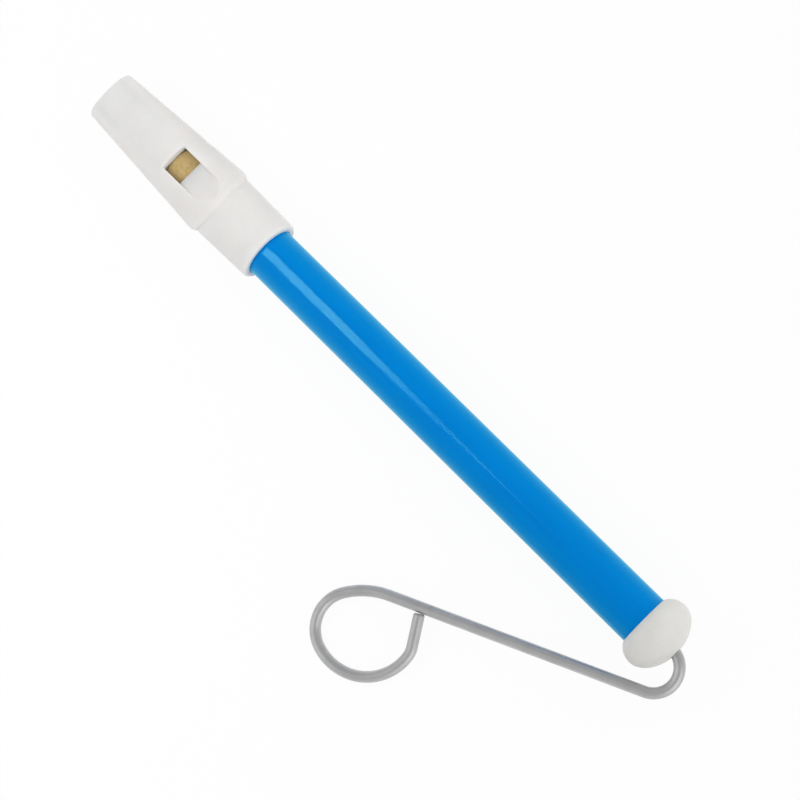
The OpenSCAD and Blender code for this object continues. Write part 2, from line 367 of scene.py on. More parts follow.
def node(tree, kind, inputs=None, **settings):
    """A new node, its settings made first, then its inputs filled or linked."""
    made = tree.nodes.new(kind)
    for key, value in settings.items():
        setattr(made, key, value)
    for key, value in (inputs or {}).items():
        if isinstance(value, bpy.types.NodeSocket):
            tree.links.new(value, made.inputs[key])
        else:
            made.inputs[key].default_value = value
    return made


def result(tree, kind, inputs=None, **settings):
    """The first output of a new node."""
    return node(tree, kind, inputs, **settings).outputs[0]


def maths(tree, operation, *values):
    """One step of arithmetic on numbers or sockets."""
    return result(tree, "ShaderNodeMath", dict(enumerate(values)), operation=operation)


def mean(tree, first, second):
    """Halfway between two values."""
    return maths(tree, "MULTIPLY", maths(tree, "ADD", first, second), 0.5)


def mapped(tree, value, start, end, low, high, **settings):
    """Maps a value from one range, start to end, onto another, low to high."""
    ranges = {"Value": value, "From Min": start, "From Max": end, "To Min": low, "To Max": high}
    return node(tree, "ShaderNodeMapRange", ranges, **settings).outputs["Result"]


def finish(name, base, roughness, **constants):
    """A new material, its node tree and its shader."""
    material = bpy.data.materials.new(name)
    material.use_nodes = True
    tree = material.node_tree
    shader = tree.nodes["Principled BSDF"]
    shader.inputs["Base Color"].default_value = base
    shader.inputs["Roughness"].default_value = roughness
    for label, value in constants.items():
        shader.inputs[label.replace("_", " ")].default_value = value
    return material, tree, shader


def place_on(tree, stretch=(1, 1, 1), attribute=None):
    """A position on the piece in millimetres, stretched along its axes."""
    if attribute:
        source = node(tree, "ShaderNodeAttribute", attribute_name=attribute).outputs["Vector"]
    else:
        source = node(tree, "ShaderNodeTexCoord").outputs["Object"]
    scale = tuple(1 / MM / s for s in stretch)
    return node(tree, "ShaderNodeMapping", {"Vector": source, "Scale": scale}).outputs["Vector"]


def grain(tree, place, size, detail=3.0, roughness=0.5):
    """Soft noise whose spots are about a size across, in millimetres."""
    inputs = {"Vector": place, "Scale": 1 / size, "Detail": detail, "Roughness": roughness}
    return node(tree, "ShaderNodeTexNoise", inputs).outputs["Fac"]


def ramp(tree, value, stops):
    """Colours along a value from 0 to 1."""
    made = node(tree, "ShaderNodeValToRGB", {"Fac": value})
    strip = made.color_ramp.elements
    while len(strip) < len(stops):
        strip.new(0.5)
    for element, (position, colour) in zip(strip, stops):
        element.position = position
        element.color = colour
    return made.outputs["Color"]


def between(tree, value, low, high):
    """Maps a noise value, which stays near the middle, onto a range."""
    return mapped(tree, value, 0.3, 0.7, low, high)


def bumps(tree, shader, layers):
    """Stacks bumps, each a height, its strength and its depth in millimetres."""
    normal = None
    for height, strength, depth in layers:
        inputs = {"Height": height, "Strength": strength, "Distance": depth * MM}
        if normal is not None:
            inputs["Normal"] = normal
        normal = node(tree, "ShaderNodeBump", inputs).outputs["Normal"]
    tree.links.new(normal, shader.inputs["Normal"])


# Finishes

def white_plastic(name, light, dark, gloss, bleed=0.7, depth=3.0):
    """Moulded white plastic: a faint cloudiness, fine speckle, and a surface that is not quite flat."""
    material, tree, shader = finish(
        name, light, gloss, Subsurface_Weight=bleed, Subsurface_Scale=depth * MM, Specular_IOR_Level=0.3)
    shader.inputs["Subsurface Radius"].default_value = (1.0, 0.85, 0.75)
    place = place_on(tree)
    tone = mean(tree, grain(tree, place, size=7.0, detail=4.0), grain(tree, place, size=0.35, detail=2.0))
    tree.links.new(ramp(tree, tone, [(0.35, dark), (0.62, light)]), shader.inputs["Base Color"])
    worn = grain(tree, place, size=1.6, detail=5.0)
    tree.links.new(between(tree, worn, gloss - 0.05, gloss + 0.07), shader.inputs["Roughness"])
    ripple = grain(tree, place, size=5.0, detail=2.0)
    tooth = grain(tree, place, size=0.22)
    bumps(tree, shader, [(ripple, 0.35, 0.06), (tooth, 0.12, 0.01)])
    return material


def blue_lacquer():
    """Glossy blue lacquer on a drawn tube: long faint draw lines and a slight orange peel."""
    material, tree, shader = finish("blue_lacquer", srgb(0, 121, 208), 0.1, Specular_IOR_Level=0.12,
                                    Sheen_Weight=0.6, Sheen_Roughness=0.6)
    shader.inputs["Specular Tint"].default_value = (0.25, 0.8, 0.55, 1.0)
    shader.inputs["Sheen Tint"].default_value = (0.0, 0.85, 0.9, 1.0)
    lines = grain(tree, place_on(tree, (60.0, 0.8, 0.8)), size=1.0, detail=4.0)
    cloud = grain(tree, place_on(tree, (3.0, 1.0, 1.0)), size=6.0)
    blues = [(0.35, srgb(0, 118, 205)), (0.65, srgb(0, 124, 211))]
    tree.links.new(ramp(tree, mean(tree, lines, cloud), blues), shader.inputs["Base Color"])
    tree.links.new(between(tree, lines, 0.08, 0.13), shader.inputs["Roughness"])
    peel = grain(tree, place_on(tree), size=1.8, detail=2.0)
    bumps(tree, shader, [(lines, 0.06, 0.02), (peel, 0.06, 0.02)])
    return material


def drawn_steel(name, base, gloss, attribute=None, stretch=(0.16, 0.16, 9.0), metal=1.0):
    """Satin steel with fine lines left by drawing or turning, and a few dull patches."""
    material, tree, shader = finish(name, base, gloss, Metallic=metal)
    lines = grain(tree, place_on(tree, stretch, attribute), size=1.0, detail=5.0, roughness=0.6)
    patches = grain(tree, place_on(tree, (1, 1, 1), attribute), size=3.5, detail=4.0)
    dark = tuple(0.86 * c for c in base[:3]) + (1.0,)
    tone = mean(tree, lines, patches)
    tree.links.new(ramp(tree, tone, [(0.36, dark), (0.6, base)]), shader.inputs["Base Color"])
    tree.links.new(between(tree, tone, gloss + 0.09, gloss - 0.05), shader.inputs["Roughness"])
    bumps(tree, shader, [(lines, 0.4, 0.02)])
    return material


def wool_felt():
    """Tan wool felt: matted fibres, pressed pits and a soft sheen."""
    base = srgb(188, 163, 109)
    material, tree, shader = finish("wool_felt", base, 0.95, Sheen_Weight=0.75, Sheen_Roughness=0.55)
    shader.inputs["Sheen Tint"].default_value = (1.0, 0.87, 0.62, 1.0)
    shader.inputs["Specular IOR Level"].default_value = 0.15
    place = place_on(tree)
    fibre = grain(tree, place_on(tree, (1.0, 0.25, 0.25)), size=0.5, detail=6.0, roughness=0.7)
    mat = grain(tree, place, size=0.9, detail=5.0, roughness=0.65)
    tans = [(0.36, srgb(168, 142, 90)), (0.5, base), (0.64, srgb(203, 179, 127))]
    tree.links.new(ramp(tree, mean(tree, fibre, mat), tans), shader.inputs["Base Color"])
    bumps(tree, shader, [(mat, 0.4, 0.1), (fibre, 0.5, 0.06)])
    return material


# The head's outer form

def scoop_z(x):
    """Height of the hollow scoop under the beak, which only counts where it is above the underside."""
    fall = math.atan2(TIP_BOTTOM - BELLY_Z, BEAK_LENGTH)
    radius = SCOOP_LENGTH ** 2 / (8 * SCOOP_DEPTH) + SCOOP_DEPTH / 2
    along = SCOOP_START + SCOOP_LENGTH / 2
    below = SCOOP_DEPTH - radius
    centre_x = along * math.cos(fall) + below * math.sin(fall)
    centre_z = TIP_BOTTOM - along * math.sin(fall) + below * math.cos(fall)
    reach = radius ** 2 - (np.asarray(x) - centre_x) ** 2
    return np.where(reach > 0, centre_z + np.sqrt(np.maximum(reach, 0)), -math.inf)


def oval(angles, half_width, low, high, exponent):
    """Y and Z round a superellipse."""
    c, s = np.cos(angles), np.sin(angles)
    y = half_width * np.sign(c) * np.abs(c) ** (2 / exponent)
    z = (high + low) / 2 + (high - low) / 2 * np.sign(s) * np.abs(s) ** (2 / exponent)
    return y, z


def beak_half_width(x):
    """Half the beak's width, which grows evenly from the tip to the shoulder."""
    return lerp(TIP_WIDTH, SHOULDER_WIDTH, x / BEAK_FULL_X) / 2


def beak_top(x):
    """Height of the beak's crown, which rises evenly from the tip to the shoulder."""
    return lerp(TIP_TOP, SHOULDER_HEIGHT / 2, x / (SHOULDER_X + SHOULDER_RISE))


def collar_radius(x):
    """Radius of the socket collar, which tapers a little towards its lip."""
    share = (x - COLLAR_START_X) / (COLLAR_END_X - LIP_ROUND - COLLAR_START_X)
    return lerp(COLLAR_R, COLLAR_LIP_R, np.clip(share, 0, 1))


def beak_section(x, inset, angles):
    """The beak between its oval tip and the window, on an upright plane."""
    share = max(0.0, (x - TIP_ROUND) / (BEAK_LENGTH - TIP_ROUND))
    high = beak_top(x) if x > TIP_ROUND else TIP_TOP
    low = lerp(TIP_BOTTOM, BELLY_Z, share)
    exponent = lerp(TIP_OVAL, ELLIPSE, share)
    y, z = oval(angles, beak_half_width(x) - inset, low + inset, high - inset, exponent)
    return np.full_like(y, x), y, z


def belly_section(x, tan, angles):
    """The head between window and shoulder, where its ellipse fills out and starts to lean."""
    ya, za = oval(angles, beak_half_width(BEAK_LENGTH), BELLY_Z, beak_top(BEAK_LENGTH), ELLIPSE)
    yb, zb = oval(angles, SHOULDER_WIDTH / 2, -SHOULDER_HEIGHT / 2, SHOULDER_HEIGHT / 2, ELLIPSE)
    xb = BEAK_FULL_X + zb * math.tan(SHOULDER_LEAN)
    share = (x - BEAK_LENGTH + za * tan) / ((xb - BEAK_LENGTH) - (zb - za) * tan)
    y, z = lerp(ya, yb, share), lerp(za, zb, share)
    return x + z * tan, y, z


def shoulder_section(x, tan, inset, angles):
    """The shoulder's rounded end, and past it the round collar."""
    half_width, half_height = SHOULDER_WIDTH / 2 - inset, SHOULDER_HEIGHT / 2 - inset
    reach = collar_radius(x + half_height * tan)
    high = max(half_height, reach)
    y, z = oval(angles, max(half_width, reach), -high, high, ELLIPSE)
    px = x + z * tan
    if half_width <= COLLAR_LIP_R:
        radius = collar_radius(px)
        turn = np.arctan2(z, y)
        y, z = radius * np.cos(turn), radius * np.sin(turn)
        px = x + z * tan
    return px, y, z


def outer_section(x, lean, inset, angles):
    """Points round the head's outer form, on a plane that crosses the axis at x and leans."""
    tan = math.tan(lean)
    if x <= BEAK_LENGTH:
        px, y, z = beak_section(x, inset, angles)
    elif x <= BEAK_FULL_X:
        px, y, z = belly_section(x, tan, angles)
    else:
        px, y, z = shoulder_section(x, tan, inset, angles)
    if x < BEAK_LENGTH:
        z = np.where(z < SCOOP_LIMIT_Z, np.maximum(z, np.minimum(scoop_z(px), SCOOP_LIMIT_Z)), z)
    return np.stack([px, y, z], 1)


# The head's top, whose points are gathered at the window's and the ramp's edges

def top_marks(edge, outer, inner):
    """Places across half of the top, from its side to its middle, gathered round an edge."""
    start = [TOP_HALF, lerp(TOP_HALF, edge + outer, 0.5)]
    rim = [edge + outer * share for share in (1, 0.8, 0.6, 0.4, 0.2, 0)]
    foot = [edge - inner * share for share in (0.33, 0.67, 1)]
    middle = spread(edge - inner, 0, 8)[1:]
    return np.array(start + rim + foot + middle)


def notch_top(floor):
    """A notch as wide as the window: upright walls, a rounded upper edge and a small fillet at its floor."""

    def shape(surface):
        wall = surface(WINDOW_HALF) - floor
        if wall < LOW_WALL:
            return fading_top(floor)(surface)
        outer = min(EDGE_ROUND, 0.5 * wall)
        inner = min(EDGE_ROUND, 0.35 * wall)
        marks = top_marks(WINDOW_HALF, outer, inner)
        heights = surface(marks)
        # Points 3 to 5 go round the rim, 6 and 7 down the wall, and 8 and 9 round its foot
        rim = surface(WINDOW_HALF + outer) - outer
        for k, a in zip((3, 4, 5), radians(30, 60, 90)):
            marks[k] = WINDOW_HALF + outer * (1 - math.sin(a))
            heights[k] = rim + outer * math.cos(a)
        marks[6] = marks[7] = WINDOW_HALF
        heights[6] = lerp(rim, floor + inner, 0.5)
        heights[7] = floor + inner
        for k, a in zip((8, 9), radians(30, 60)):
            marks[k] = WINDOW_HALF - inner * (1 - math.cos(a))
            heights[k] = floor + inner * (1 - math.sin(a))
        heights[10:] = floor
        return marks, heights

    return shape


def fading_top(floor):
    """The ramp's end, where its side walls have run out and its plane meets the beak's crown."""

    def shape(surface):
        ys = np.linspace(0, WINDOW_HALF, 400)
        inside = np.nonzero(surface(ys) > floor)[0]
        edge = max(ys[inside[-1]] if len(inside) else 0.0, NARROW)
        marks = top_marks(edge, FADE, FADE)
        heights = np.where(marks <= WINDOW_HALF, np.minimum(surface(marks), floor), surface(marks))
        return marks, heights

    return shape


def whole_top(edge=WINDOW_HALF):
    """The whole crown. Past the ramp, its points are drawn apart again from the ramp's last narrow end."""

    def shape(surface):
        marks = top_marks(min(edge, WINDOW_HALF), EDGE_ROUND, EDGE_ROUND)
        return marks, surface(marks)

    return shape


def drafted_top(floor):
    """The window's front wall, which leans a little so that the head leaves its mould."""

    def shape(surface):
        if floor < surface(WINDOW_HALF) - 2 * EDGE_ROUND:
            return notch_top(floor)(surface)
        marks, heights = dipped_top(EDGE_ROUND)(surface)
        return marks, np.where(marks <= WINDOW_HALF, np.minimum(heights, floor), heights)

    return shape


def dipped_top(drop):
    """The rounded front edge of the window: the crown between its walls falls by a little."""

    def shape(surface):
        marks = top_marks(WINDOW_HALF, EDGE_ROUND, EDGE_ROUND)
        share = np.clip((WINDOW_HALF + EDGE_ROUND - marks) / EDGE_ROUND, 0, 1)
        return marks, surface(marks) - drop * share

    return shape


# The head's rings

def section_ring(x, lean=0.0, inset=0.0, top=whole_top()):
    """One ring of the head: evenly round its sides and belly, then across its top, which top shapes."""
    dense = outer_section(x, lean, inset, DENSE)
    upper = dense[2 * QUARTER:][::-1]
    crown = upper[upper[:, 2] > CROWN_SHARE * upper[:, 2].max()]
    order = np.argsort(crown[:, 1])
    ys, zs = crown[order, 1], crown[order, 2]
    right = slice(2 * QUARTER, 3 * QUARTER + 1)
    edge = np.interp(TOP_HALF, dense[right][::-1, 1], DENSE[right][::-1])
    sides = outer_section(x, lean, inset, np.linspace(edge, -math.pi - edge, SIDE_POINTS))

    def surface(y):
        return np.interp(y, ys, zs)

    marks, heights = top(surface)
    half = np.stack([x + heights * math.tan(lean), marks, heights], 1)
    left = half * (1, -1, 1)
    return np.concatenate([sides[1:-1], left, half[::-1][1:]])


def ramp_ring(x, lean, inset, with_window):
    """A ring past the labium's edge, with the ramp cut into its crown where it still shows."""
    if not with_window:
        return section_ring(x, lean, inset)
    floor = (LABIUM_TOP + (x - LABIUM_X) * RAMP_SLOPE) / (1 - math.tan(lean) * RAMP_SLOPE)
    crown = outer_section(x, lean, inset, np.array([math.pi / 2]))[0, 2]
    if floor > crown - FEATHER:
        return section_ring(x, lean, inset, whole_top(NARROW + SPREAD_RATE * (floor - crown)))
    return section_ring(x, lean, inset, notch_top(floor))


def beak_rings():
    """The beak's rounded tip, and evenly spaced rings up to the window."""
    rings = []
    for a in radians(0, 15, 30, 45, 60, 75, 90):
        rings.append(section_ring(TIP_ROUND * (1 - math.cos(a)), inset=TIP_ROUND * (1 - math.sin(a))))
    return rings + [section_ring(x) for x in spread(TIP_ROUND + 0.8, BEAK_LENGTH - 0.9, 28)]


def window_rings():
    """The window: rounded front edge, leaning front wall, open shaft and the labium's edge."""
    front = BEAK_LENGTH - EDGE_ROUND
    rings = [section_ring(front)]
    for a in radians(30, 60, 90):
        x = front + EDGE_ROUND * math.sin(a) - HAIR
        rings.append(section_ring(x, top=dipped_top(EDGE_ROUND * (1 - math.cos(a)))))
    high, low = beak_top(BEAK_LENGTH) - EDGE_ROUND, WINDWAY_ROOF - 0.1
    for k in range(1, DRAFT_STEPS + 1):
        height = lerp(high, low, k / DRAFT_STEPS)
        rings.append(section_ring(BEAK_LENGTH + WINDOW_DRAFT * k / DRAFT_STEPS, top=drafted_top(height)))
    shaft = math.sqrt(BORE_R ** 2 - WINDOW_HALF ** 2) - HAIR
    stations = spread(BEAK_LENGTH + WINDOW_DRAFT + HAIR / 2, LABIUM_X, 8)
    rings += [section_ring(x, top=notch_top(shaft)) for x in stations]
    return rings + [section_ring(LABIUM_X + HAIR, top=notch_top(LABIUM_TOP - 3 * HAIR))]


def shoulder_rings(with_window):
    """From the labium to the shoulder's full size, round its edge and down to the collar."""
    rings = []
    for x in spread(LABIUM_X + 4 * HAIR, BEAK_FULL_X, 34):
        lean = SHOULDER_LEAN * (x - LABIUM_X) / (BEAK_FULL_X - LABIUM_X)
        rings.append(ramp_ring(x, lean, 0.0, with_window))
    rings += [ramp_ring(x, SHOULDER_LEAN, inset, with_window) for x, inset in SHOULDER_EDGE]
    return rings + [section_ring(x, SHOULDER_LEAN, inset) for x, inset in SHOULDER_STEP]


def collar_rings():
    """The socket collar, whose first rings still lean with the shoulder."""
    leaning = [section_ring(x, SHOULDER_LEAN * share, COLLAR_INSET) for x, share in COLLAR_LEANS]
    return leaning + [section_ring(x, inset=COLLAR_INSET) for x in COLLAR_XS]


def lip_rings(collar):
    """The collar's rounded lip, each ring drawn in from one further back along the collar."""
    rings = []
    for a, section in zip(radians(15, 30, 45, 60, 75, 90), collar[::-1]):
        scale = (COLLAR_LIP_R - LIP_ROUND * (1 - math.cos(a))) / COLLAR_LIP_R
        ring = section * (0, scale, scale)
        ring[:, 0] = COLLAR_END_X - LIP_ROUND * (1 - math.sin(a))
        rings.append(ring)
    return rings


def head_rings(with_window):
    """Rings of the head's outer form, from the tip to the lip of its collar."""
    if with_window:
        middle = window_rings()
    else:
        middle = [section_ring(x) for x in (BEAK_LENGTH, 32.0, LABIUM_X)]
    collar = collar_rings()
    return beak_rings() + middle + shoulder_rings(with_window) + collar + lip_rings(collar)


# The head and its block

def windway_cutters():
    """The windway's two stretches: from the mouth to the window, and under the labium."""
    share = -CUT_OVERRUN / BEAK_LENGTH
    mouth = (-CUT_OVERRUN, lerp(MOUTH_HALF, WINDOW_HALF, share), lerp(MOUTH_FLOOR, WINDWAY_FLOOR, share),
             lerp(MOUTH_ROOF, WINDWAY_ROOF, share))
    inner = (BEAK_LENGTH + WINDWAY_END, WINDOW_HALF, WINDWAY_FLOOR, WINDWAY_ROOF)
    way = hexahedron("windway", [mouth, inner])
    relief = hexahedron("relief", [(x, WINDOW_HALF, RELIEF_FLOOR, WINDWAY_ROOF)
                                   for x in (BEAK_LENGTH + HAIR / 2, LABIUM_X + RELIEF)])
    return way, relief


def moulded_head(material):
    """The mouthpiece in one moulding: beak, windway, window, ramp, shoulder and socket collar."""
    head = lofted("moulded_head", head_rings(True))
    tip = lerp(PLUG_TIP_R, BORE_R, -CUT_OVERRUN / BEAK_LENGTH)
    bore = [(-CUT_OVERRUN, tip), (BEAK_LENGTH, BORE_R), (SEAT_X, BORE_R), (SEAT_X, SEAT_R),
            (COLLAR_END_X - 0.3, SEAT_R), (COLLAR_END_X + 1.0, SEAT_R + 1.3)]
    combine(head, turned("bore", bore, sides=160, closed=False), "DIFFERENCE")
    for cutter in windway_cutters():
        combine(head, cutter, "DIFFERENCE")
    smooth(head)
    return dress(head, material, "whistle", "mouthpiece")


def fipple_block(material):
    """The block: a tapered plug, flat on top and cut flush with the beak's underside."""
    block = lofted("fipple_block", head_rings(False))
    taper = [(0.0, PLUG_TIP_R - SEAT_GAP), (BEAK_LENGTH, BORE_R - SEAT_GAP)]
    combine(block, turned("taper", taper, sides=160, closed=False), "INTERSECT")
    way, relief = windway_cutters()
    bpy.data.objects.remove(relief)
    combine(block, way, "DIFFERENCE")
    recess = [(RECESS_X, RECESS_R), (BEAK_LENGTH + 1, RECESS_R)]
    combine(block, turned("recess", recess, sides=96, closed=False), "DIFFERENCE")
    smooth(block)
    return dress(block, material, "whistle", "windway_block")


# Geometry trees

def new_tree(name, sockets):
    """An empty geometry tree with named inputs, given as name, kind and value."""
    tree = bpy.data.node_groups.new(name, "GeometryNodeTree")
    tree.interface.new_socket("Geometry", in_out="INPUT", socket_type="NodeSocketGeometry")
    for label, kind, value in sockets:
        made = tree.interface.new_socket(label, in_out="INPUT", socket_type=kind)
        if value is not None:
            made.default_value = value
    tree.interface.new_socket("Geometry", in_out="OUTPUT", socket_type="NodeSocketGeometry")
    return tree, tree.nodes.new("NodeGroupInput").outputs, tree.nodes.new("NodeGroupOutput")


def close_tree(tree, shape, material, out):
    """Every tree ends the same way: smooth, real geometry with its material set."""
    shaded = result(tree, "GeometryNodeSetShadeSmooth", {"Geometry": shape})
    real = result(tree, "GeometryNodeRealizeInstances", {"Geometry": shaded})
    done = result(tree, "GeometryNodeSetMaterial", {"Geometry": real, "Material": material})
    tree.links.new(done, out.inputs[0])


def grow(name, tree, values, base=None):
    """Runs a tree on a mesh, its inputs set by their sockets' identifiers, and keeps the plain result."""
    piece = linked(name, base or bpy.data.meshes.new(name))
    step = piece.modifiers.new("grow", "NODES")
    step.node_group = tree
    for item in tree.interface.items_tree:
        if item.item_type == "SOCKET" and item.in_out == "INPUT" and item.name in values:
            step[item.identifier] = values[item.name]
    return plain_copy(piece)


def circle(tree, sides, radius):
    """A circle round the origin."""
    return result(tree, "GeometryNodeCurvePrimitiveCircle", {"Resolution": sides, "Radius": radius})


def turned_ring_tree():
    """A ring of rectangular section with rounded edges, turned round the X axis."""
    tree, given, out = new_tree("turned_ring", [
        ("Start", "NodeSocketFloat", 0.0), ("Length", "NodeSocketFloat", 0.01),
        ("Inner Radius", "NodeSocketFloat", 0.002), ("Outer Radius", "NodeSocketFloat", 0.004),
        ("Edge Radius", "NodeSocketFloat", 0.0002), ("Sides", "NodeSocketInt", 96),
        ("Material", "NodeSocketMaterial", None)])
    wall = maths(tree, "SUBTRACT", given["Outer Radius"], given["Inner Radius"])
    middle = mean(tree, given["Outer Radius"], given["Inner Radius"])
    size = {"Width": wall, "Height": given["Length"]}
    section = result(tree, "GeometryNodeCurvePrimitiveQuadrilateral", size)
    rounding = {"Curve": section, "Count": 4, "Radius": given["Edge Radius"]}
    eased = result(tree, "GeometryNodeFilletCurve", rounding, mode="POLY")
    path = circle(tree, given["Sides"], middle)
    swept = result(tree, "GeometryNodeCurveToMesh", {"Curve": path, "Profile Curve": eased})
    centre = maths(tree, "MULTIPLY_ADD", given["Length"], 0.5, given["Start"])
    shift = result(tree, "ShaderNodeCombineXYZ", {"X": centre})
    laying = {"Geometry": swept, "Translation": shift, "Rotation": (0, math.pi / 2, 0)}
    laid = result(tree, "GeometryNodeTransform", laying)
    close_tree(tree, laid, given["Material"], out)
    return tree


def stored(tree, shape, name, value, kind):
    """Keeps a value on every point of a shape under a name."""
    inputs = {"Geometry": shape, "Name": name, "Value": value}
    return result(tree, "GeometryNodeStoreNamedAttribute", inputs, data_type=kind, domain="POINT")


def carried(tree, name, kind):
    """Reads back a value that every point carries."""
    return result(tree, "GeometryNodeInputNamedAttribute", {"Name": name}, data_type=kind)


def bent_wire_tree():
    """Sweeps a round section along a path, and keeps where each point would lie on a straight wire."""
    tree, given, out = new_tree("bent_wire", [
        ("Diameter", "NodeSocketFloat", 0.003), ("Sides", "NodeSocketInt", 32),
        ("Material", "NodeSocketMaterial", None)])
    line = result(tree, "GeometryNodeMeshToCurve", {"Mesh": given["Geometry"]})
    length = node(tree, "GeometryNodeSplineParameter").outputs["Length"]
    marked = stored(tree, line, "along", length, "FLOAT")
    radius = maths(tree, "MULTIPLY", given["Diameter"], 0.5)
    outline = circle(tree, given["Sides"], radius)
    spot = result(tree, "GeometryNodeInputPosition")
    section = stored(tree, outline, "section", spot, "FLOAT_VECTOR")
    width = carried(tree, "thickness", "FLOAT")
    sweep = {"Curve": marked, "Profile Curve": section, "Scale": width, "Fill Caps": True}
    swept = result(tree, "GeometryNodeCurveToMesh", sweep)
    lift = result(tree, "ShaderNodeCombineXYZ", {"Z": carried(tree, "along", "FLOAT")})
    flat = carried(tree, "section", "FLOAT_VECTOR")
    straight = result(tree, "ShaderNodeVectorMath", {0: flat, 1: lift}, operation="ADD")
    placed = stored(tree, swept, "wire_place", straight, "FLOAT_VECTOR")
    close_tree(tree, placed, given["Material"], out)
    return tree


# The tube and the washers

def ring_piece(tree, name, material, body, cad_node, slot, sides, **sizes):
    """A turned ring, its sizes given in millimetres by their sockets' names."""
    values = {label.replace("_", " "): size * MM for label, size in sizes.items()}
    piece = grow(name, tree, {**values, "Sides": sides, "Material": material})
    close_up(piece.data)
    smooth(piece, angle=40)
    return dress(piece, material, body, cad_node)


def blue_tube(tree, material):
    """The tube, its ends eased."""
    return ring_piece(
        tree, "blue_tube", material, "whistle", "tube", "blue_tube", sides=160,
        Start=TUBE_START_X, Length=TUBE_END_X - TUBE_START_X,
        Inner_Radius=BORE_R, Outer_Radius=TUBE_R, Edge_Radius=TUBE_EDGE)


def washer(tree, name, material, start, cad_node):
    """One of the two washers that hold the felt."""
    return ring_piece(
        tree, name, material, "piston", cad_node, "washer_steel", sides=80,
        Start=start, Length=WASHER_T, Inner_Radius=GUIDE_R, Outer_Radius=WASHER_R, Edge_Radius=WASHER_EDGE)


# The cap

def domed_cap(material):
    """The end cap: rounded edge, elliptical dome, spigot, and the flared hole that guides the wire."""
    edge_r = CAP_R - CAP_EDGE
    rim_turn = math.acos((CAP_RIM_R - edge_r) / CAP_EDGE)
    lip = math.asin(MOUTH_R / CAP_R)
    outline = [(CAP_WIDE_X + CAP_EDGE * math.sin(a), edge_r + CAP_EDGE * math.cos(a))
               for a in spread(-rim_turn, 0, 22)[1:]]
    outline += [(CAP_WIDE_X + DOME_HEIGHT * math.cos(a), CAP_R * math.sin(a))
                for a in spread(math.pi / 2, lip + 0.02, 40)[1:]]
    # In through the flare and the guide hole
    mouth_x = CAP_WIDE_X + DOME_HEIGHT * math.cos(lip)
    flare_x = BEND_X - 0.15
    outline += [(mouth_x - 0.01, MOUTH_R - 0.02), (mouth_x - 0.12, MOUTH_R - 0.12)]
    outline += [(flare_x + 0.2, lerp(GUIDE_R, MOUTH_R, 0.1)), (flare_x, GUIDE_R)]
    # Round the spigot and back along the tube's seat
    spigot_r = BORE_R - SEAT_GAP
    outline += [(SPIGOT_X + 0.2, GUIDE_R), (SPIGOT_X, GUIDE_R + 0.2), (SPIGOT_X, spigot_r - 0.4)]
    outline += [(SPIGOT_X + 0.12, spigot_r - 0.12), (SPIGOT_X + 0.4, spigot_r), (CAP_FLOOR_X, spigot_r)]
    outline += [(CAP_FLOOR_X, SEAT_R), (CAP_RIM_X + 0.12, SEAT_R), (CAP_RIM_X + 0.02, SEAT_R + 0.06)]
    outline.append((CAP_RIM_X, SEAT_R + 0.14))
    cap = turned("domed_cap", outline, sides=128)
    smooth(cap)
    return dress(cap, material, "whistle", "end_cap")


# The wire

def wire_moves():
    """The wire's runs and bends from its peened head: kind, length or radius, and turn."""
    shaft = BEND_X - ROD_HEAD_X - ROD_HEAD_MIDDLE
    moves = [("run", shaft, 0), ("arc", -BEND_R, 180 - RUN_ANGLE), ("run", RUN_LENGTH, 0)]
    moves += [("arc", radius, turn) for radius, turn in RING_ARCS]
    heading, across = 0.0, 0.0
    for radius, turn in RING_ARCS:
        across += radius * (math.cos(math.radians(heading)) - math.cos(math.radians(heading + turn)))
        heading += turn
    closing = (across - 2 * WIRE_R - RING_GAP) / -math.sin(math.radians(heading))
    return moves + [("run", closing, 0)]


def wire_path():
    """Points along the wire's centre line in its own plane, and its end's direction."""
    spot, heading = np.array([ROD_HEAD_X + ROD_HEAD_MIDDLE, 0.0]), 0.0
    points = [spot]
    for kind, size, turn in wire_moves():
        if kind == "run":
            steps = max(2, round(size / RUN_STEP))
            points += [spot + aim(heading) * size * k / steps for k in range(1, steps + 1)]
        else:
            steps = round(turn / BEND_STEP)
            side = math.copysign(math.pi / 2, size)
            centre = spot + abs(size) * aim(heading + side)
            swing = math.copysign(math.radians(turn), size)
            turns = [heading - side + swing * k / steps for k in range(1, steps + 1)]
            points += [centre + abs(size) * aim(a) for a in turns]
            heading += swing
        spot = points[-1]
    return points, heading


def dulled_end(points, heading):
    """Adds the wire's cut end with its dulled edge, and every point's share of the thickness."""
    spot = points[-1]
    thickness = [1.0] * len(points)
    for a in radians(0, 18, 36, 54, 72, 90):
        points.append(spot + aim(heading) * (WIRE_R - END_ROUND * (1 - math.sin(a))))
        thickness.append(1 - END_ROUND * (1 - math.cos(a)) / WIRE_R)
    return np.array(points), thickness


def bent_wire(material):
    """The wire: shaft, end bend, return run and finger ring, tilted so that it rests level with the cap."""
    path, thickness = dulled_end(*wire_path())
    reach = -path[:, 1].min()
    tilt = math.asin((CAP_R - WIRE_R) / reach)
    spots = np.stack([path[:, 0], path[:, 1] * math.cos(tilt), path[:, 1] * math.sin(tilt)], 1)
    line = bpy.data.meshes.new("wire_line")
    line.from_pydata((spots * MM).tolist(), [(k, k + 1) for k in range(len(spots) - 1)], [])
    line.attributes.new("thickness", "FLOAT", "POINT").data.foreach_set("value", thickness)
    values = {"Diameter": 2 * (WIRE_R - WIRE_THINNER) * MM, "Sides": 32, "Material": material}
    piece = grow("bent_wire", bent_wire_tree(), values, line)
    with opened(piece.data) as work:
        bmesh.ops.recalc_face_normals(work, faces=work.faces)
    smooth(piece, angle=50)
    return dress(piece, material, "rod", "slide_rod")


